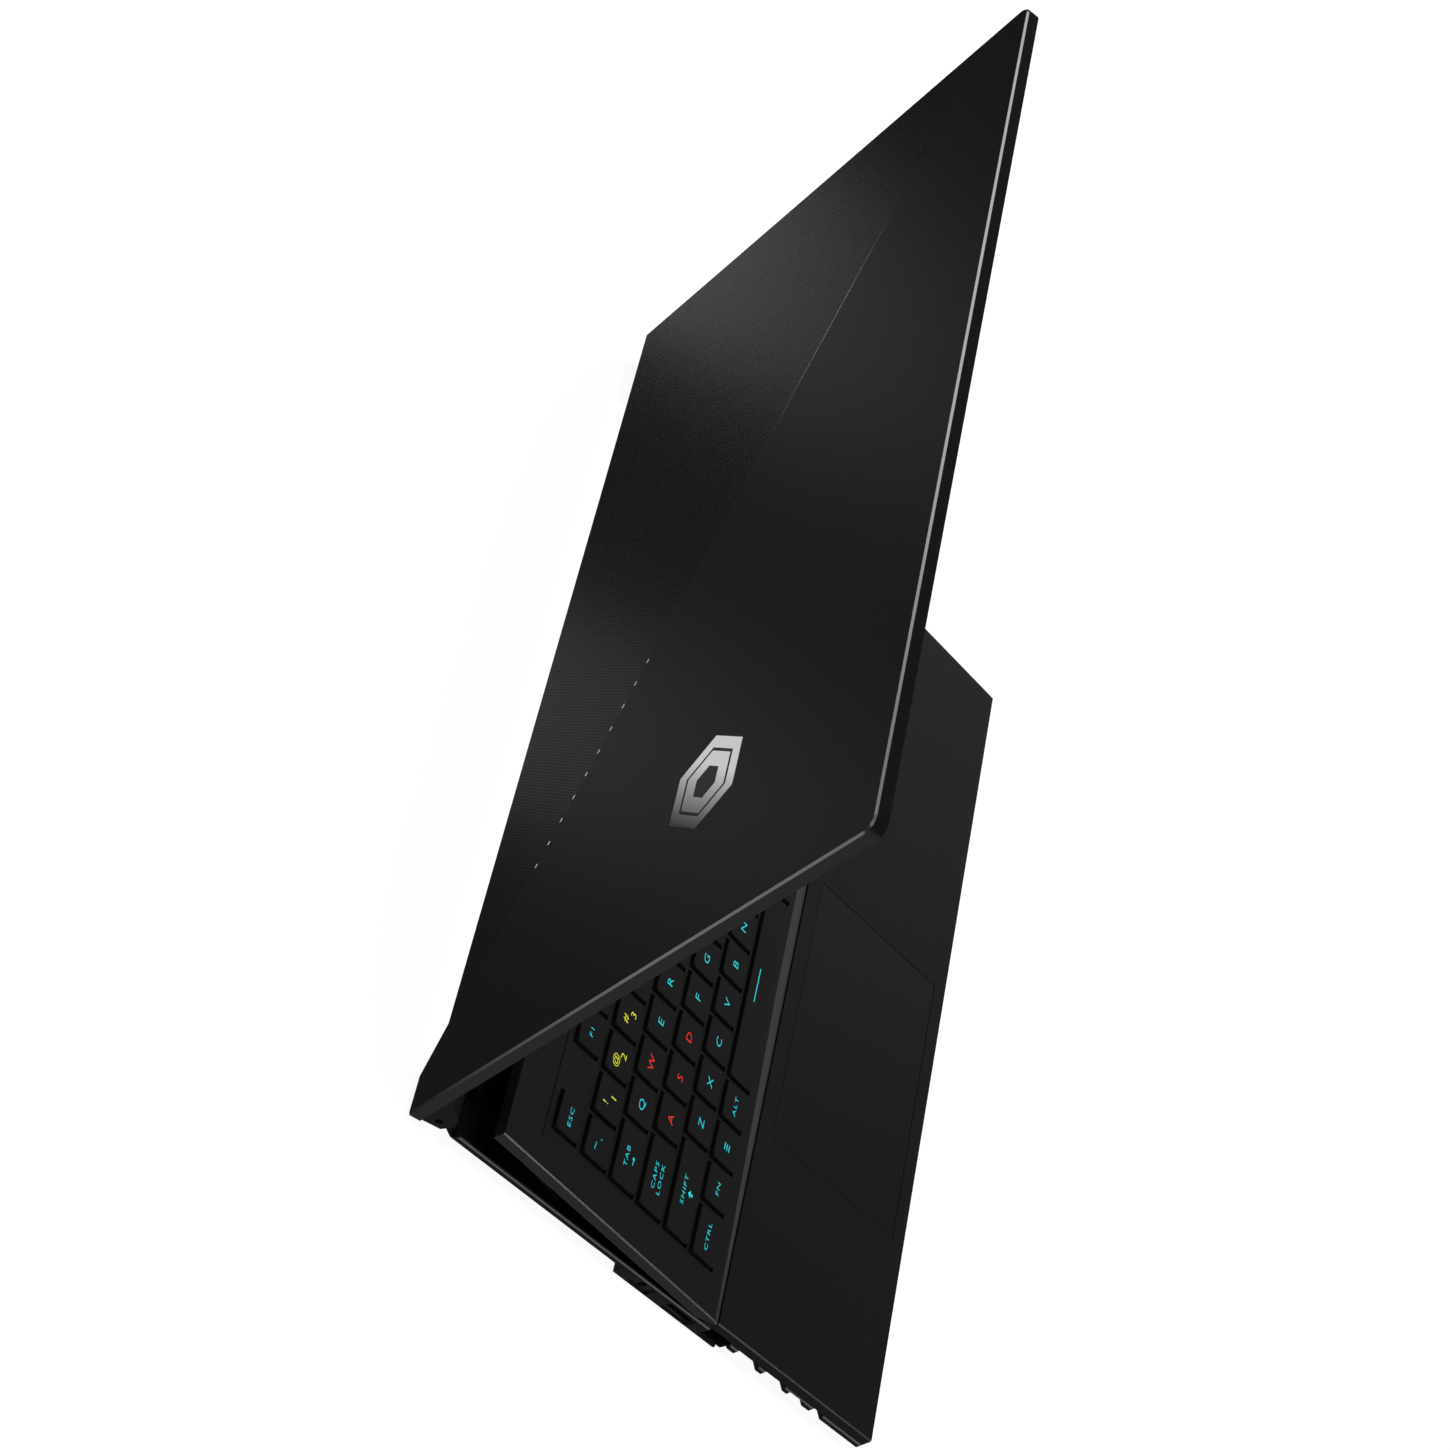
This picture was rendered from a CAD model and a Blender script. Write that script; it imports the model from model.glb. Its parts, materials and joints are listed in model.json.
import bmesh
import bpy
import json
import math
from mathutils import Matrix, Vector


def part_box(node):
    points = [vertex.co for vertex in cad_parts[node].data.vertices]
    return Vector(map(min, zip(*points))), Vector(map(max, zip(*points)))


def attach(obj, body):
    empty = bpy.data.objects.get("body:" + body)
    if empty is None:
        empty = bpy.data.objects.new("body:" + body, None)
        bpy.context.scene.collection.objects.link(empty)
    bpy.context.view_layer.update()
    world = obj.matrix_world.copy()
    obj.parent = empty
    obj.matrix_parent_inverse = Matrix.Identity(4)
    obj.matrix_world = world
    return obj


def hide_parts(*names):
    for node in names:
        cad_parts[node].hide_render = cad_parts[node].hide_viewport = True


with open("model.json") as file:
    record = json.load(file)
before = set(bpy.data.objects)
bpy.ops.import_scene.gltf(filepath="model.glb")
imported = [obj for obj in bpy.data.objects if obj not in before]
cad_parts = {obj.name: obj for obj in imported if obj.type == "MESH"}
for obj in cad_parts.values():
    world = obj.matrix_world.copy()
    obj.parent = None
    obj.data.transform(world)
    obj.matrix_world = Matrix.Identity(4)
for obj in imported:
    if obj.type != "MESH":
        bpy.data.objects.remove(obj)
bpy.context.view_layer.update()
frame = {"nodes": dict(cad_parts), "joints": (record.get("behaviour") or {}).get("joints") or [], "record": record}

# ------------------------------------------------------------------ camera
# A long lens behind the left rear corner and above it, rolled on its side, so that the lid stands
# nearly upright in the picture and the palm rest runs down its right side.
camera = bpy.data.objects.new("camera", bpy.data.cameras.new("camera"))
bpy.context.scene.collection.objects.link(camera)
bpy.context.scene.camera = camera
camera.data.sensor_width = 36.0
camera.data.lens = 74.32
camera.data.clip_end = 60.0
sight = Vector((0.6238, -0.5320, -0.5725))
roll = math.radians(69.39)
level_view = sight.to_track_quat("-Z", "Y").to_matrix()
camera.rotation_euler = (level_view @ Matrix.Rotation(roll, 3, "Z")).to_euler()
camera.location = (-0.7278, 0.66963, 0.7285)
bpy.context.scene.view_settings.view_transform = "Standard"


# ------------------------------------------------------------------ studio
# A pale floor that is lit from within, so that the laptop throws only a faint shadow, a large soft
# light above, and cards that show only as sheen: two long ones give the lid its pair of soft bands.
def shader_node(tree, kind, *values, **settings):
    """A shader node with its settings, its inputs filled in order with sockets or plain values."""
    made = tree.nodes.new("ShaderNode" + kind)
    for setting, value in settings.items():
        setattr(made, setting, value)
    for socket, value in zip(made.inputs, values):
        if isinstance(value, bpy.types.NodeSocket):
            tree.links.new(value, socket)
        elif value is not None:
            socket.default_value = value
    return made.outputs[0]


def finish(name, colour, roughness, metallic=0.0, **inputs):
    """A new material with its own shader; further inputs are named with _ for each space."""
    material = bpy.data.materials.new(name)
    material.use_nodes = True
    shader = material.node_tree.nodes["Principled BSDF"]
    shader.inputs["Base Color"].default_value = (*colour, 1)
    shader.inputs["Roughness"].default_value = roughness
    shader.inputs["Metallic"].default_value = metallic
    for label, value in inputs.items():
        shader.inputs[label.replace("_", " ")].default_value = value
    return material, material.node_tree, shader


def flat_card(name, middle, size, material):
    """A level sheet of the studio that faces up; size is its extent along X and Y."""
    mesh = bpy.data.meshes.new(name)
    card = bpy.data.objects.new(name, mesh)
    bpy.context.scene.collection.objects.link(card)
    shape = bmesh.new()
    bmesh.ops.create_grid(shape, x_segments=1, y_segments=1, size=0.5)
    bmesh.ops.scale(shape, vec=(size[0], size[1], 1), verts=shape.verts)
    bmesh.ops.translate(shape, vec=middle, verts=shape.verts)
    shape.to_mesh(mesh)
    shape.free()
    mesh.materials.append(material)
    return card


paper, paper_tree, paper_shader = finish(
    "white_paper", (0.35, 0.35, 0.35), 0.9, Specular_IOR_Level=0.0,
    Emission_Color=(1, 1, 1, 1), Emission_Strength=0.93)
floor = flat_card("studio_floor", (0, 0, -0.0002), (28, 28), paper)
floor.visible_glossy = False
# Seen from below the floor is clear, so that it doesn't hide the bottom cover.
see_through = paper_tree.nodes.new("ShaderNodeBsdfTransparent")
from_below = paper_tree.nodes.new("ShaderNodeMixShader")
side = paper_tree.nodes.new("ShaderNodeNewGeometry")
paper_tree.links.new(side.outputs["Backfacing"], from_below.inputs["Fac"])
paper_tree.links.new(paper_shader.outputs[0], from_below.inputs[1])
paper_tree.links.new(see_through.outputs[0], from_below.inputs[2])
paper_tree.links.new(from_below.outputs[0], paper_tree.nodes["Material Output"].inputs["Surface"])

# Each card's glow changes from its front value to its rear one between these two places along Y.
FADE_FROM, FADE_TO = 0.18, 0.42
for name, middle, size, front_glow, rear_glow in (
        ("near_sheen_card", (0.40, 0.22, -0.5), (0.16, 0.7), 0.23, 0.20),
        ("far_sheen_card", (0.86, 0.10, -0.5), (0.24, 0.7), 0.52, 0.08),
        ("lid_edge_card", (-0.52, 0.50, -0.5), (0.5, 0.5), 0.22, 0.22),
        ("free_edge_card", (1.30, 1.40, 0.55), (1.2, 1.2), 0.9, 0.9),
        ("deck_edge_card", (-1.06, -0.80, 0.95), (0.5, 0.5), 1.3, 1.3),
        ("palm_sheen_card", (2.3, -0.9, 1.1), (2.2, 1.6), 0.5, 0.5)):
    glow, glow_tree, glow_shader = finish(name, (0, 0, 0), 1.0, Emission_Color=(1, 1, 1, 1))
    place = glow_tree.nodes.new("ShaderNodeTexCoord")
    parts = glow_tree.nodes.new("ShaderNodeSeparateXYZ")
    glow_tree.links.new(place.outputs["Object"], parts.inputs[0])
    fade = shader_node(glow_tree, "MapRange", parts.outputs["Y"], FADE_FROM, FADE_TO,
                       front_glow, rear_glow)
    glow_tree.links.new(fade, glow_shader.inputs["Emission Strength"])
    glow.cycles.emission_sampling = "NONE"
    card = flat_card(name, middle, size, glow)
    card.visible_camera = False
    card.visible_diffuse = False
    card.visible_shadow = False


def soft_box(name, place, aim, size, power):
    """A large soft light that faces a point on the laptop."""
    light = bpy.data.lights.new(name, "AREA")
    light.shape = "RECTANGLE"
    light.size, light.size_y = size
    light.energy = power
    lamp = bpy.data.objects.new(name, light)
    bpy.context.scene.collection.objects.link(lamp)
    lamp.location = place
    lamp.rotation_euler = (Vector(aim) - Vector(place)).to_track_quat("-Z", "Y").to_euler()
    lamp.visible_glossy = False


soft_box("key_light", (0.3, 0.2, 2.6), (0, 0, 0), (2.5, 2.5), 28.0)

# The air is pale to the camera; what the laptop mirrors is dimmer, with a band at the skyline.
world = bpy.data.worlds.new("studio_air")
bpy.context.scene.world = world
world.use_nodes = True
air = world.node_tree
ways = air.nodes.new("ShaderNodeTexCoord")
heights = air.nodes.new("ShaderNodeSeparateXYZ")
air.links.new(ways.outputs["Generated"], heights.inputs[0])
ramp = air.nodes.new("ShaderNodeValToRGB")
air.links.new(heights.outputs["Z"], ramp.inputs["Fac"])
ramp.color_ramp.elements[0].position = 0.0
ramp.color_ramp.elements[0].color = (0.028, 0.028, 0.029, 1)
ramp.color_ramp.elements[1].position = 0.30
ramp.color_ramp.elements[1].color = (0.11, 0.11, 0.12, 1)
haze = ramp.color_ramp.elements.new(0.06)
haze.color = (0.30, 0.30, 0.31, 1)
haze = ramp.color_ramp.elements.new(0.20)
haze.color = (0.24, 0.24, 0.25, 1)
seen = air.nodes.new("ShaderNodeLightPath")
backdrop = air.nodes.new("ShaderNodeMix")
backdrop.data_type = "RGBA"
air.links.new(seen.outputs["Is Camera Ray"], backdrop.inputs["Factor"])
air.links.new(ramp.outputs["Color"], backdrop.inputs[6])
backdrop.inputs[7].default_value = (0.86, 0.86, 0.86, 1)
air.links.new(backdrop.outputs[2], air.nodes["Background"].inputs["Color"])

# ------------------------------------------------------------------ lid
# A thin pressed magnesium cover. Its hinge side is dotted with fine dimples, the rest is plain and
# satin, a fine line parts the two, and its outer edge is cut bright all round.
lid_joint = next(joint for joint in frame["joints"] if joint["name"] == "lid_hinge")
lid_axis = Vector(lid_joint["pos_m"])
lid_turn = math.radians(lid_joint["range_deg"][1])
LID_LENGTH = 0.2455
PART_LINE_RISE = 0.603
PART_LINE_START = 0.1012
PART_LINE_HALF = 0.00012
LINE_RISES, LINE_FADES = (0.045, 0.085), (0.10, 0.130)
TICK_PITCH, TICK_HALF, TICK_REACH = 0.0081, 0.085, 0.00045
TICKS_MIDDLE, TICKS_HALF_RUN = -0.0705, 0.0405
DOT_PITCH = 0.0014
DOT_FLAT, DOT_EDGE = 0.00034, 0.00050
CUT_LEAN = math.sqrt(0.5)


def grain_group():
    """Fine moulded or blasted grain: a height for bump, and a slow tone that varies the gloss."""
    group = bpy.data.node_groups.new("blasted_grain", "ShaderNodeTree")
    for label, kind, way in (
            ("Place", "NodeSocketVector", "INPUT"), ("Grain Scale", "NodeSocketFloat", "INPUT"),
            ("Height", "NodeSocketFloat", "OUTPUT"), ("Tone", "NodeSocketFloat", "OUTPUT")):
        group.interface.new_socket(label, in_out=way, socket_type=kind)
    start = group.nodes.new("NodeGroupInput")
    end = group.nodes.new("NodeGroupOutput")
    fine = group.nodes.new("ShaderNodeTexNoise")
    fine.inputs["Detail"].default_value = 2.0
    group.links.new(start.outputs["Place"], fine.inputs["Vector"])
    group.links.new(start.outputs["Grain Scale"], fine.inputs["Scale"])
    slow = group.nodes.new("ShaderNodeTexNoise")
    slow.inputs["Scale"].default_value = 9.0
    slow.inputs["Detail"].default_value = 4.0
    group.links.new(start.outputs["Place"], slow.inputs["Vector"])
    group.links.new(fine.outputs["Fac"], end.inputs["Height"])
    group.links.new(slow.outputs["Fac"], end.inputs["Tone"])
    return group


def cut_edge_group():
    """A mask for faces whose normal has a given share, Lean, of the way that Facing looks."""
    group = bpy.data.node_groups.new("cut_edge", "ShaderNodeTree")
    for label, kind, way in (
            ("Facing", "NodeSocketVector", "INPUT"), ("Lean", "NodeSocketFloat", "INPUT"),
            ("Mask", "NodeSocketFloat", "OUTPUT")):
        group.interface.new_socket(label, in_out=way, socket_type=kind)
    start = group.nodes.new("NodeGroupInput")
    end = group.nodes.new("NodeGroupOutput")
    normal = group.nodes.new("ShaderNodeTexCoord").outputs["Normal"]
    share = group.nodes.new("ShaderNodeVectorMath")
    share.operation = "DOT_PRODUCT"
    group.links.new(normal, share.inputs[0])
    group.links.new(start.outputs["Facing"], share.inputs[1])
    close = group.nodes.new("ShaderNodeMath")
    close.operation = "COMPARE"
    group.links.new(share.outputs["Value"], close.inputs[0])
    group.links.new(start.outputs["Lean"], close.inputs[1])
    close.inputs[2].default_value = 0.12
    group.links.new(close.outputs[0], end.inputs["Mask"])
    return group


grain = grain_group()
cut_edge = cut_edge_group()


def use_group(tree, group, *values):
    """Place a node group and fill its inputs in order with sockets or plain values."""
    made = tree.nodes.new("ShaderNodeGroup")
    made.node_tree = group
    for socket, value in zip(made.inputs, values):
        if isinstance(value, bpy.types.NodeSocket):
            tree.links.new(value, socket)
        else:
            socket.default_value = value
    return made


def math_node(tree, operation, *values):
    return shader_node(tree, "Math", *values, operation=operation)


def mixed_colours(tree, share, first, second):
    """A colour between two, by a mask."""
    made = tree.nodes.new("ShaderNodeMix")
    made.data_type = "RGBA"
    tree.links.new(share, made.inputs["Factor"])
    for socket, value in ((made.inputs[6], first), (made.inputs[7], second)):
        if isinstance(value, bpy.types.NodeSocket):
            tree.links.new(value, socket)
        else:
            socket.default_value = (*value, 1)
    return made.outputs[2]


def mixed_values(tree, share, first, second):
    """A value between two, by a mask."""
    made = tree.nodes.new("ShaderNodeMix")
    tree.links.new(share, made.inputs[0])
    for socket, value in ((made.inputs[2], first), (made.inputs[3], second)):
        if isinstance(value, bpy.types.NodeSocket):
            tree.links.new(value, socket)
        else:
            socket.default_value = value
    return made.outputs[0]


def bumps(tree, shader, height, depth, strength=1.0):
    """Feed a height to the shader's normal; depth is in metres."""
    bump = tree.nodes.new("ShaderNodeBump")
    bump.inputs["Distance"].default_value = depth
    bump.inputs["Strength"].default_value = strength
    tree.links.new(height, bump.inputs["Height"])
    tree.links.new(bump.outputs["Normal"], shader.inputs["Normal"])


def object_place(tree):
    return tree.nodes.new("ShaderNodeTexCoord").outputs["Object"]


lid_back, tree, shader = finish("dotted_lid_metal", (0.010, 0.010, 0.011), 0.26, 0.0, IOR=1.5)
to_flat = Matrix.Rotation(lid_turn, 3, "X")
flat = tree.nodes.new("ShaderNodeMapping")
flat.inputs["Rotation"].default_value = (lid_turn, 0, 0)
flat.inputs["Location"].default_value = lid_axis - to_flat @ lid_axis
tree.links.new(object_place(tree), flat.inputs["Vector"])
split = tree.nodes.new("ShaderNodeSeparateXYZ")
tree.links.new(flat.outputs["Vector"], split.inputs[0])
hinge_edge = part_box("palm_rest_case")[0].y + 0.0002 + LID_LENGTH
across = split.outputs["X"]
from_hinge = math_node(tree, "SUBTRACT", hinge_edge, split.outputs["Y"])
past_line = math_node(tree, "SUBTRACT", from_hinge,
                      math_node(tree, "MULTIPLY_ADD", across, PART_LINE_RISE, PART_LINE_START))
dotted = math_node(tree, "LESS_THAN", past_line, 0.0)
on_line = math_node(tree, "COMPARE", past_line, 0.0, PART_LINE_HALF)


def in_cell(tree, value, pitch, shift):
    """How far a point is from the middle of its cell, in cells."""
    cells = math_node(tree, "MULTIPLY_ADD", value, 1 / pitch, shift)
    return math_node(tree, "SUBTRACT", math_node(tree, "FRACT", cells), 0.5)


def dot_field(tree, shift):
    """One rectangular net of round dots; two, half a cell apart, make the staggered pattern."""
    a = in_cell(tree, across, DOT_PITCH, shift)
    b = in_cell(tree, from_hinge, DOT_PITCH * math.sqrt(3), shift)
    a = math_node(tree, "MULTIPLY", a, DOT_PITCH)
    b = math_node(tree, "MULTIPLY", b, DOT_PITCH * math.sqrt(3))
    apart = math_node(tree, "SQRT", math_node(tree, "ADD", math_node(tree, "MULTIPLY", a, a),
                                              math_node(tree, "MULTIPLY", b, b)))
    return shader_node(tree, "MapRange", apart, DOT_FLAT, DOT_EDGE, 1.0, 0.0)


dots = math_node(tree, "MAXIMUM", dot_field(tree, 0.0), dot_field(tree, 0.5))
dots = math_node(tree, "MULTIPLY", dots, dotted)
flat_normal = Matrix.Rotation(-lid_turn, 3, "X") @ Vector((0, 0, 1))
outer_face = use_group(tree, cut_edge, flat_normal, 1.0).outputs["Mask"]
bright_edge = use_group(tree, cut_edge, flat_normal, CUT_LEAN).outputs["Mask"]
dots = math_node(tree, "MULTIPLY", dots, outer_face)
# The line starts faint, brightens across the middle and fades out near its far end; the ticks
# stand across its faint part.
rising = shader_node(tree, "MapRange", across, *LINE_RISES, 0.012, 0.8)
falling = shader_node(tree, "MapRange", across, *LINE_FADES, 1.0, 0.0)
cut_line = math_node(tree, "MULTIPLY", on_line, rising)
cut_line = math_node(tree, "MULTIPLY", cut_line, falling)
tick = math_node(tree, "COMPARE", in_cell(tree, across, TICK_PITCH, 0.0), 0.0, TICK_HALF)
tick = math_node(tree, "MULTIPLY", tick, math_node(tree, "COMPARE", past_line, 0.0, TICK_REACH))
tick = math_node(tree, "MULTIPLY", tick,
                 math_node(tree, "COMPARE", across, TICKS_MIDDLE, TICKS_HALF_RUN))
marks = math_node(tree, "MULTIPLY", math_node(tree, "MAXIMUM", cut_line, tick), outer_face)
side_face = use_group(tree, cut_edge, (1, 0, 0), -1.0).outputs["Mask"]
texture = use_group(tree, grain, object_place(tree), 2600.0)
tone = mixed_colours(tree, dots, (0.0055, 0.0055, 0.0060), (0.004, 0.004, 0.0042))
tone = mixed_colours(tree, marks, tone, (0.75, 0.76, 0.78))
tone = mixed_colours(tree, side_face, tone, (0.024, 0.024, 0.025))
cut_share = math_node(tree, "MULTIPLY", bright_edge,
                      shader_node(tree, "MapRange", from_hinge, 0.0, 0.13, 0.12, 1.0))
tone = mixed_colours(tree, cut_share, tone, (0.62, 0.63, 0.65))
tree.links.new(tone, shader.inputs["Base Color"])
rim_face = use_group(tree, cut_edge, flat_normal, 0.0).outputs["Mask"]
ground = mixed_values(tree, dotted, mixed_values(tree, texture.outputs["Tone"], 0.34, 0.38), 0.24)
gloss = mixed_values(tree, rim_face, mixed_values(tree, dots, ground, 0.42), 0.75)
tree.links.new(mixed_values(tree, bright_edge, gloss, 0.22), shader.inputs["Roughness"])
tree.links.new(bright_edge, shader.inputs["Metallic"])
faint_grain = math_node(tree, "MULTIPLY", texture.outputs["Height"], 0.05)
relief = math_node(tree, "SUBTRACT", faint_grain, dots)
bumps(tree, shader, relief, 0.00003, 0.5)

# ------------------------------------------------------------------ emblem
# A plain hexagon let into the lid: polished, with a fine dark groove and a dark inner field, and
# brighter towards one corner.
emblem_finish, tree, shader = finish("polished_inlay", (0.8, 0.8, 0.82), 0.2, 0.3)
flat = tree.nodes.new("ShaderNodeMapping")
flat.inputs["Rotation"].default_value = (lid_turn, 0, 0)
flat.inputs["Location"].default_value = lid_axis - to_flat @ lid_axis
tree.links.new(object_place(tree), flat.inputs["Vector"])
emblem_low, emblem_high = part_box("lid_emblem")
emblem_middle = to_flat @ ((emblem_low + emblem_high) / 2 - lid_axis) + lid_axis
centred = shader_node(tree, "VectorMath", flat.outputs["Vector"], tuple(emblem_middle),
                      operation="SUBTRACT")
GROOVE_REACH, GROOVE_HALF, FIELD_REACH = 0.0122, 0.0006, 0.0060
reach = 0.0
for turn in (30, 90, 150):
    along = shader_node(tree, "VectorMath", centred, operation="DOT_PRODUCT")
    along.node.inputs[1].default_value = (
        math.cos(math.radians(turn)), math.sin(math.radians(turn)), 0)
    aside = math_node(tree, "ABSOLUTE", along.node.outputs["Value"])
    reach = math_node(tree, "MAXIMUM", aside, reach)
groove = math_node(tree, "COMPARE", reach, GROOVE_REACH, GROOVE_HALF)
inner = math_node(tree, "LESS_THAN", reach, FIELD_REACH)
slope = shader_node(tree, "VectorMath", centred, operation="DOT_PRODUCT")
slope.node.inputs[1].default_value = (0.83, -0.55, 0)
shine = shader_node(tree, "MapRange", slope.node.outputs["Value"], -0.017, 0.006, 0.0, 1.0)
tone = mixed_colours(tree, shine, (0.10, 0.10, 0.11), (0.93, 0.93, 0.94))
tone = mixed_colours(tree, math_node(tree, "MAXIMUM", groove, inner), tone, (0.012, 0.012, 0.013))
tree.links.new(tone, shader.inputs["Base Color"])
tree.links.new(mixed_values(tree, shine, 0.8, 0.1), shader.inputs["Metallic"])

# ------------------------------------------------------------------ case and deck
# The palm rest case and the rising deck are cast magnesium with a fine satin coat. Their top edges
# are cut bright along the sides, and the front bevel of the deck shows as a lighter strip.
RIM_INSIDE, RIM_LEVEL, RIM_HALF = 0.1950, 0.0085, 0.0005
STRIP_LEVEL, STRIP_RUN, STRIP_WIDTHS = 0.0125, (-0.195, -0.045), (0.0016, 0.0060)
deck_joint = next(joint for joint in frame["joints"] if joint["name"] == "deck_lift")
deck_axis = Vector(deck_joint["pos_m"])
deck_tilt = math.radians(-deck_joint["range_deg"][0])


def satin_case(name, facing, tone_colour, edge_colour, side_colour, strip_mask, strip_colour):
    """Satin coat with fine grain; half-turned faces are cut bright and one strip is lighter."""
    material, tree, shader = finish(name, tone_colour, 0.42)
    texture = use_group(tree, grain, object_place(tree), 2200.0)
    edge = use_group(tree, cut_edge, facing, CUT_LEAN).outputs["Mask"]
    parts = tree.nodes.new("ShaderNodeSeparateXYZ")
    tree.links.new(object_place(tree), parts.inputs[0])
    strip = strip_mask(tree, *parts.outputs)
    side = math_node(tree, "MAXIMUM", use_group(tree, cut_edge, (1, 0, 0), -1.0).outputs["Mask"],
                     use_group(tree, cut_edge, (1, 0, 0), 1.0).outputs["Mask"])
    tone = mixed_colours(tree, side, tone_colour, side_colour)
    tone = mixed_colours(tree, strip, tone, strip_colour)
    tree.links.new(mixed_colours(tree, edge, tone, edge_colour), shader.inputs["Base Color"])
    satin = mixed_values(tree, texture.outputs["Tone"], 0.36, 0.48)
    tree.links.new(mixed_values(tree, edge, satin, 0.25), shader.inputs["Roughness"])
    tree.links.new(edge, shader.inputs["Metallic"])
    bumps(tree, shader, texture.outputs["Height"], 0.00002, 0.35)
    return material


def rim_line(tree, across, along, level):
    """The cut outer edge of the two low side rims."""
    outer = math_node(tree, "GREATER_THAN", math_node(tree, "ABSOLUTE", across), RIM_INSIDE)
    return math_node(tree, "MULTIPLY", outer,
                     math_node(tree, "COMPARE", level, RIM_LEVEL, RIM_HALF))


def front_strip(tree, across, along, level):
    """The deck's lighter front bevel, narrow at the left end and wider towards the middle."""
    width = shader_node(tree, "MapRange", across, *STRIP_RUN, *STRIP_WIDTHS)
    near = math_node(tree, "LESS_THAN", math_node(tree, "SUBTRACT", along, deck_front), width)
    return math_node(tree, "MULTIPLY", near, math_node(tree, "GREATER_THAN", level, STRIP_LEVEL))


deck_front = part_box("keyboard_deck")[0].y
deck_facing = Matrix.Rotation(deck_tilt, 3, "X") @ Vector((0, 0, 1))
case_black = satin_case("satin_case_metal", (0, 0, 1), (0.0065, 0.0065, 0.0085), (0.30, 0.30, 0.32),
                        (0.012, 0.012, 0.013), rim_line, (0.16, 0.16, 0.165))
deck_black = satin_case("satin_deck_metal", deck_facing, (0.0072, 0.0072, 0.0074),
                        (0.50, 0.50, 0.51), (0.030, 0.030, 0.031), front_strip,
                        (0.085, 0.085, 0.088))


# ------------------------------------------------------------------ plastic, rubber and bare metal
# The bottom cover, screen frame and hinge covers are glass-filled plastic with a spark-eroded
# grain; feet and buffers are rubber; sockets are plated, hinges plain steel.
def moulded(name, colour, roughness, scale, depth):
    """Moulded plastic or rubber with an even grain."""
    material, tree, shader = finish(name, colour, roughness)
    texture = use_group(tree, grain, object_place(tree), scale)
    low = [0.86 * part for part in colour]
    high = [1.14 * part for part in colour]
    tree.links.new(mixed_colours(tree, texture.outputs["Tone"], low, high),
                   shader.inputs["Base Color"])
    tree.links.new(mixed_values(tree, texture.outputs["Tone"], roughness - 0.06, roughness + 0.06),
                   shader.inputs["Roughness"])
    bumps(tree, shader, texture.outputs["Height"], depth, 0.5)
    return material


def metal(name, colour, roughness, stretch=(1, 1, 1)):
    """Bare or plated metal with faint brushing along the way the stretch is smallest."""
    material, tree, shader = finish(name, colour, roughness, 1.0)
    mapping = tree.nodes.new("ShaderNodeMapping")
    mapping.inputs["Scale"].default_value = stretch
    tree.links.new(object_place(tree), mapping.inputs["Vector"])
    texture = use_group(tree, grain, mapping.outputs["Vector"], 1400.0)
    tree.links.new(
        mixed_values(tree, texture.outputs["Height"], roughness - 0.08, roughness + 0.12),
        shader.inputs["Roughness"])
    bumps(tree, shader, texture.outputs["Height"], 0.00001, 0.3)
    return material


finishes = {
    "case_metal": case_black,
    "bottom_plastic": moulded("bottom_cover_plastic", (0.012, 0.012, 0.013), 0.55, 1500.0, 0.00004),
    "lid_metal": lid_back,
    "touch_glass": moulded("touchpad_glass", (0.0065, 0.0065, 0.0085), 0.33, 3000.0, 0.000005),
    "key_plastic": moulded("keycap_plastic", (0.0075, 0.0075, 0.0078), 0.5, 2600.0, 0.00001),
    "button_plastic": moulded("button_plastic", (0.02, 0.02, 0.021), 0.45, 2600.0, 0.00001),
    "plate_metal": moulded("key_plate_paint", (0.006, 0.006, 0.006), 0.6, 1800.0, 0.00001),
    "bezel_plastic": moulded("screen_frame_plastic", (0.010, 0.010, 0.010), 0.6, 1800.0, 0.00003),
    "rubber": moulded("black_rubber", (0.014, 0.014, 0.014), 0.8, 900.0, 0.00005),
    "hinge_cover": moulded("hinge_cover_plastic", (0.011, 0.011, 0.011), 0.5, 1500.0, 0.00003),
    "hinge_steel": metal("hinge_steel", (0.16, 0.16, 0.165), 0.35, (0.05, 1, 1)),
    "socket_metal": metal("plated_socket_shell", (0.5, 0.5, 0.5), 0.28),
    "screw_steel": metal("black_screw_steel", (0.05, 0.05, 0.05), 0.4),
    "board": moulded("board_lacquer", (0.01, 0.03, 0.02), 0.4, 700.0, 0.00002),
    "battery": moulded("battery_wrap", (0.02, 0.02, 0.02), 0.4, 600.0, 0.00002),
    "speaker": moulded("speaker_plastic", (0.015, 0.015, 0.015), 0.5, 1500.0, 0.00002),
    "copper": metal("heat_pipe_copper", (0.62, 0.30, 0.17), 0.35, (0.05, 1, 1)),
    "fin_metal": metal("cooling_fin_metal", (0.55, 0.55, 0.56), 0.35),
    "fan_plastic": moulded("fan_plastic", (0.014, 0.014, 0.014), 0.5, 1500.0, 0.00002),
    "emblem": emblem_finish,
    "screen": finish("dark_screen_glass", (0.004, 0.004, 0.005), 0.08, Coat_Weight=1.0)[0],
    "camera": finish("camera_glass", (0.006, 0.006, 0.010), 0.05, Coat_Weight=1.0)[0],
}
for entry in frame["record"]["subparts"]:
    thing = frame["nodes"][entry["node"]]
    thing.data.materials.clear()
    thing.data.materials.append(finishes[entry["material_slot"]])
frame["nodes"]["keyboard_deck"].data.materials[0] = deck_black

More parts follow.
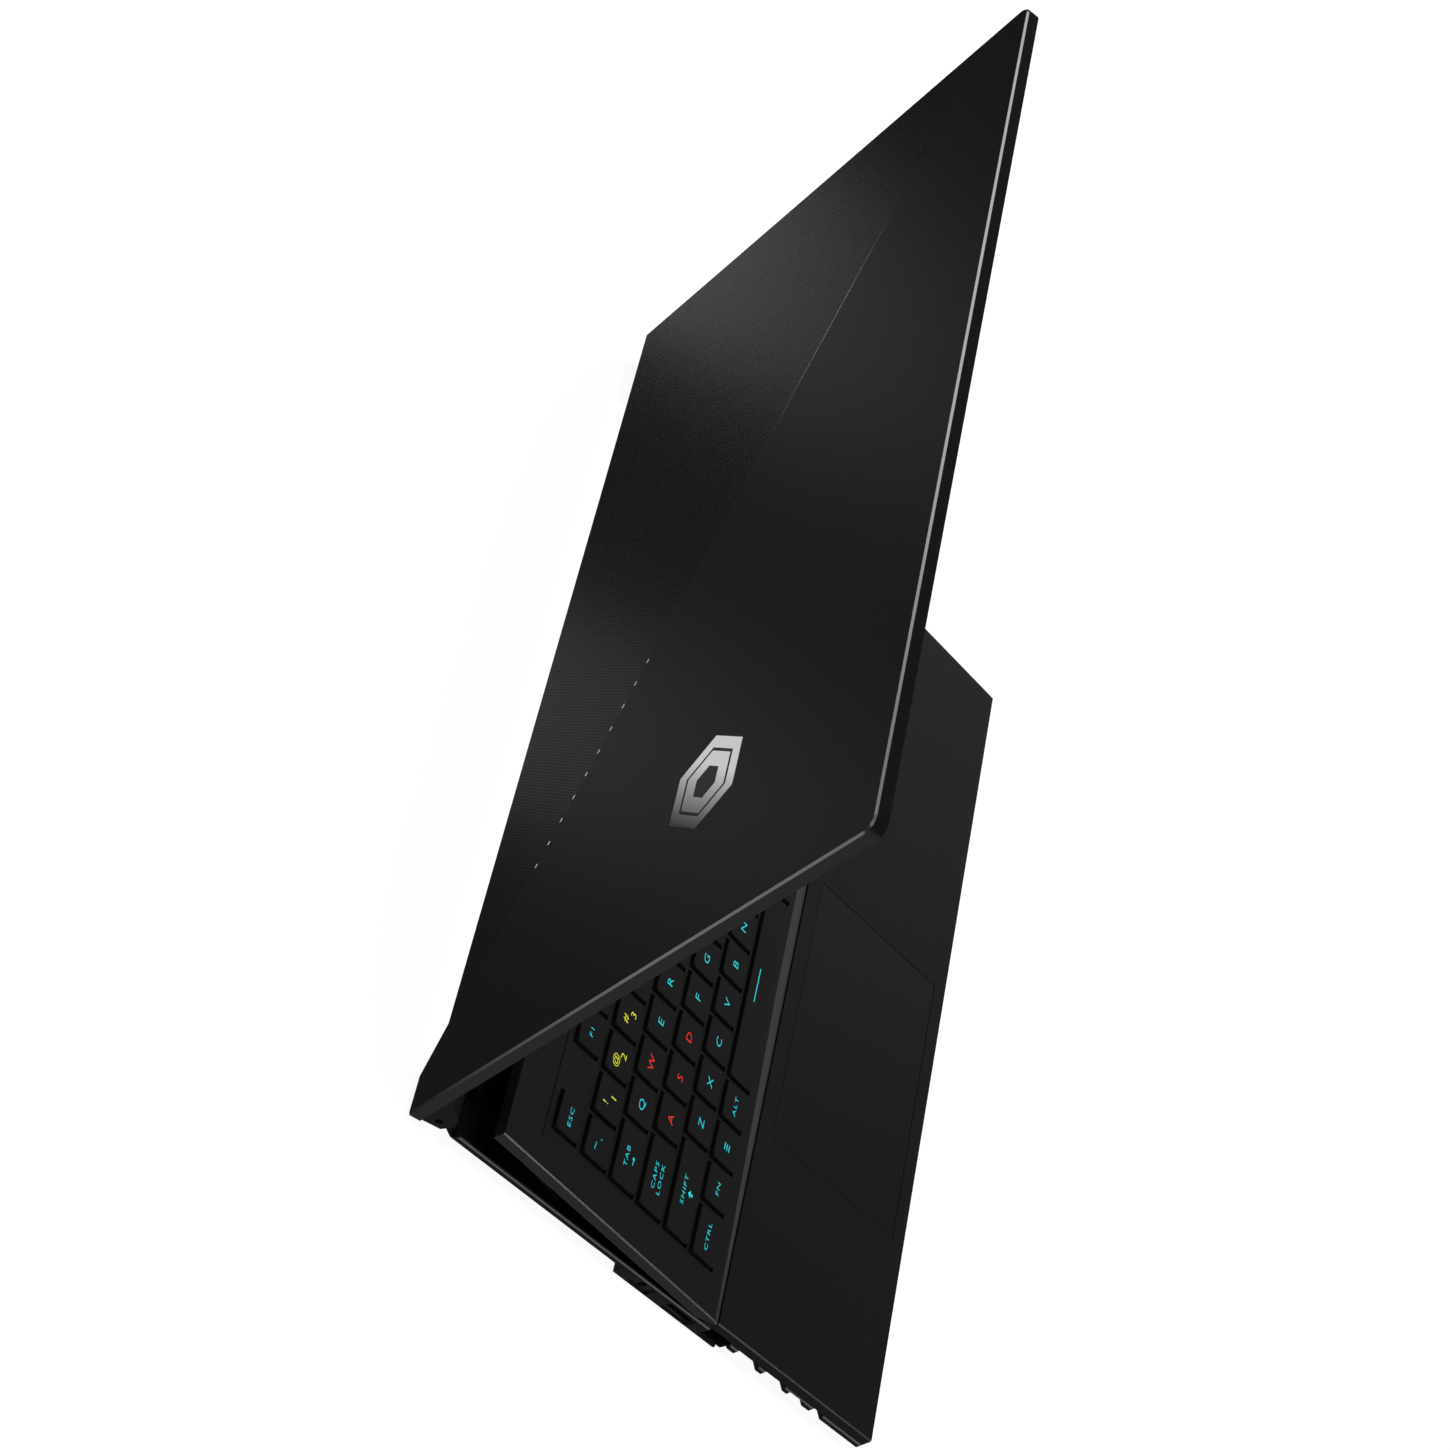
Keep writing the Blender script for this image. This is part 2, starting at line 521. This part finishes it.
# ------------------------------------------------------------------ keys
# Low black keycaps with softly rounded edges, and legends that are lit through them: teal, with
# yellow for the first digits and red for the four movement keys.
to_deck_flat = (Matrix.Translation(deck_axis) @ Matrix.Rotation(-deck_tilt, 4, "X")
                @ Matrix.Translation(-deck_axis))
from_deck_flat = to_deck_flat.inverted()
CORNER, RIM, TAPER = 0.0017, 0.00030, 0.00045
MARK_RISE = 0.00002
LEGENDS = {
    "function_keys": ["ESC"] + [f"F{i}" for i in range(1, 13)],
    "number_keys": ["~ `", "! 1", "@ 2", "# 3", "$ 4", "% 5", "^ 6", "& 7", "* 8", "( 9", ") 0",
                    "_ -", "+ =", "BACK"],
    "top_letter_keys": ["TAB"] + list("QWERTYUIOP") + ["{ [", "} ]", "| \\"],
    "home_keys": ["CAPS LOCK"] + list("ASDFGHJKL") + [": ;", "\" '"],
    "enter_key": ["ENTER"],
    "lower_letter_keys": ["SHIFT"] + list("ZXCVBNM") + ["< ,", "> .", "? /", "SHIFT"],
    "bottom_row_keys": ["CTRL", "FN", "", "ALT", "ALT", "MENU", "CTRL"],
    "space_bar": [""],
    "arrow_keys": ["<", "V", ">", "^"],
    "numpad_keys": ["0", ".", "ENTER", "1", "2", "3", "4", "5", "6", "+", "7", "8", "9",
                    "NUM", "/", "*", "-", "M1", "M2", "M3", "M4"],
}
YELLOW, RED = ("! 1", "@ 2", "# 3"), ("W", "A", "S", "D")
lit = {}
for tint, colour in (("teal", (0.02, 0.62, 0.66)), ("yellow", (0.72, 0.74, 0.03)),
                     ("red", (0.75, 0.03, 0.02))):
    lit[tint] = finish(f"lit_{tint}_legend", [0.3 * part for part in colour], 0.5,
                       Emission_Color=(*colour, 1), Emission_Strength=1.0)[0]


def islands(mesh):
    """The lowest and highest corner of each separate solid of a mesh, laid flat."""
    shape = bmesh.new()
    shape.from_mesh(mesh)
    bmesh.ops.remove_doubles(shape, verts=shape.verts, dist=1e-6)
    bmesh.ops.transform(shape, matrix=to_deck_flat, verts=shape.verts)
    boxes = []
    left = set(shape.verts)
    while left:
        group = [left.pop()]
        for vert in group:
            for edge in vert.link_edges:
                other = edge.other_vert(vert)
                if other in left:
                    left.remove(other)
                    group.append(other)
        boxes.append([[pick(vert.co[i] for vert in group) for i in range(3)]
                      for pick in (min, max)])
    shape.free()
    return boxes


def add_cap(shape, low, high):
    """One keycap between two corners: tapered block, rounded corners and a soft rim."""
    cap = bmesh.new()
    bmesh.ops.create_cube(cap, size=1.0)
    bmesh.ops.scale(cap, vec=Vector(high) - Vector(low), verts=cap.verts)
    for vert in cap.verts:
        if vert.co.z > 0:
            vert.co.x -= math.copysign(TAPER, vert.co.x)
            vert.co.y -= math.copysign(TAPER, vert.co.y)
    bmesh.ops.translate(cap, vec=(Vector(high) + Vector(low)) / 2, verts=cap.verts)
    uprights = [edge for edge in cap.edges
                if abs(edge.verts[0].co.z - edge.verts[1].co.z) > 0.0005]
    bmesh.ops.bevel(cap, geom=uprights, offset=CORNER, segments=3, profile=0.5, affect="EDGES")
    top = max(cap.faces, key=lambda face: face.calc_center_median().z)
    bmesh.ops.bevel(cap, geom=list(top.edges), offset=RIM, segments=2, profile=0.5, affect="EDGES")
    join(shape, cap)


def join(shape, extra):
    """Add one bmesh to another and free it."""
    mesh = bpy.data.meshes.new("spare")
    extra.to_mesh(mesh)
    extra.free()
    shape.from_mesh(mesh)
    bpy.data.meshes.remove(mesh)


def add_letters(shape, words, height, stretch, across, along, level, tint):
    """Letters as thin closed solids, standing out of a key's top by a hair."""
    text = bpy.data.curves.new("legend", "FONT")
    text.body = words
    text.align_x = "CENTER"
    text.align_y = "CENTER"
    text.size = height / 0.73
    text.offset = -0.008 * text.size
    text.space_character = 1.15
    text.extrude = MARK_RISE
    text.resolution_u = 2
    text.space_line = 1.3
    holder = bpy.data.objects.new("legend", text)
    bpy.context.scene.collection.objects.link(holder)
    mesh = bpy.data.meshes.new_from_object(holder)
    bpy.data.objects.remove(holder)
    mesh.transform(Matrix.Translation((across, along, level)) @ Matrix.Diagonal((stretch, 1, 1, 1)))
    for face in mesh.polygons:
        face.material_index = tint
    shape.from_mesh(mesh)
    bpy.data.meshes.remove(mesh)


def place_marks(name, shape, node, materials):
    """Turn what was drawn on the flat deck into a piece of the tilted one that rides a node."""
    bmesh.ops.transform(shape, matrix=from_deck_flat, verts=shape.verts)
    mesh = bpy.data.meshes.new(name)
    shape.to_mesh(mesh)
    shape.free()
    for material in materials:
        mesh.materials.append(material)
    piece = bpy.data.objects.new(name, mesh)
    bpy.context.scene.collection.objects.link(piece)
    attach(piece, node)
    return piece


def add_outline(shape, points, across, along, level):
    """A lit flat mark given by its corners in millimetres, anticlockwise, as a thin solid."""
    mark = bmesh.new()
    corners = [mark.verts.new((across + x / 1000, along + y / 1000, level - MARK_RISE))
               for x, y in points]
    raised = bmesh.ops.extrude_face_region(mark, geom=[mark.faces.new(corners)])["geom"]
    bmesh.ops.translate(mark, vec=(0, 0, 2 * MARK_RISE),
                        verts=[part for part in raised if isinstance(part, bmesh.types.BMVert)])
    bmesh.ops.recalc_face_normals(mark, faces=mark.faces)
    join(shape, mark)


# The power button carries the usual broken ring and bar, drawn as narrow lit strokes.
button_low, button_high = islands(frame["nodes"]["power_button"].data)[0]
marks = bmesh.new()
across, along = (button_low[0] + button_high[0]) / 2, (button_low[1] + button_high[1]) / 2
RING = [(1.5 * math.cos(math.radians(turn)), 1.5 * math.sin(math.radians(turn)))
        for turn in range(130, 411, 20)]
INNER_RING = [(0.78 * x, 0.78 * y) for x, y in reversed(RING)]
STROKE = [(-0.17, 0.3), (0.17, 0.3), (0.17, 1.8), (-0.17, 1.8)]
add_outline(marks, RING + INNER_RING, across, along, button_high[2])
add_outline(marks, STROKE, across, along, button_high[2])
place_marks("power_button_mark", marks, "power", list(lit.values()))

SPACE_LINE = [(-8.1, -0.25), (8.1, -0.25), (8.1, 0.25), (-8.1, 0.25)]
BAR = [(-1.5, -0.25), (1.5, -0.25), (1.5, 0.25), (-1.5, 0.25)]
ARROW = [(-0.5, -1.4), (0.5, -1.4), (0.5, 0.1), (1.7, 0.1), (0, 1.7), (-1.7, 0.1), (-0.5, 0.1)]
TAB_ARROW = [(-1.8, -0.2), (0.5, -0.2), (0.5, -0.8), (1.8, 0), (0.5, 0.8), (0.5, 0.2),
             (-1.8, 0.2)]
BIG_LETTER, PAIR_LETTER, WORD_LETTER = 0.0036, 0.0034, 0.0021
PAIR_ASIDE, PAIR_UP, WORD_UP, ARROW_DOWN, TAB_ARROW_DOWN = 0.0019, 0.0020, 0.0016, 0.0026, 0.0024
SPACE_LINE_ACROSS, SPACE_LINE_INSET, BAR_STEP = -0.0516, 0.0053, 0.0014
for node, words in LEGENDS.items():
    caps = sorted(islands(frame["nodes"][node].data),
                  key=lambda box: (round(box[0][1], 3), box[0][0]))
    shape = bmesh.new()
    letters = bmesh.new()
    for (low, high), label in zip(caps, words):
        add_cap(shape, low, high)
        tint = 1 if label in YELLOW else 2 if label in RED else 0
        across, along, level = (low[0] + high[0]) / 2, (low[1] + high[1]) / 2, high[2]
        if node == "space_bar":
            add_outline(letters, SPACE_LINE, SPACE_LINE_ACROSS, high[1] - SPACE_LINE_INSET, level)
        elif not label:
            for rise in (-BAR_STEP, 0, BAR_STEP):
                add_outline(letters, BAR, across, along + rise, level)
        elif len(label) == 1:
            add_letters(letters, label, BIG_LETTER, 1.35, across, along, level, tint)
        elif " " in label and len(label) == 3:
            add_letters(letters, label[0], PAIR_LETTER, 1.3, across - PAIR_ASIDE,
                        along + PAIR_UP, level, tint)
            add_letters(letters, label[2], PAIR_LETTER, 1.3, across + PAIR_ASIDE,
                        along - PAIR_UP, level, tint)
        else:
            above = WORD_UP if label in ("TAB", "SHIFT") else 0
            add_letters(letters, label.replace(" ", "\n"), WORD_LETTER, 1.6, across, along + above,
                        level, tint)
        if label == "SHIFT":
            add_outline(letters, ARROW, across, along - ARROW_DOWN, level)
        if label == "TAB":
            add_outline(letters, TAB_ARROW, across, along - TAB_ARROW_DOWN, level)
    drawn = place_marks(node + "_caps", shape, node, [finishes["key_plastic"]])
    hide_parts(node)
    place_marks(node + "_legends", letters, node, list(lit.values()))
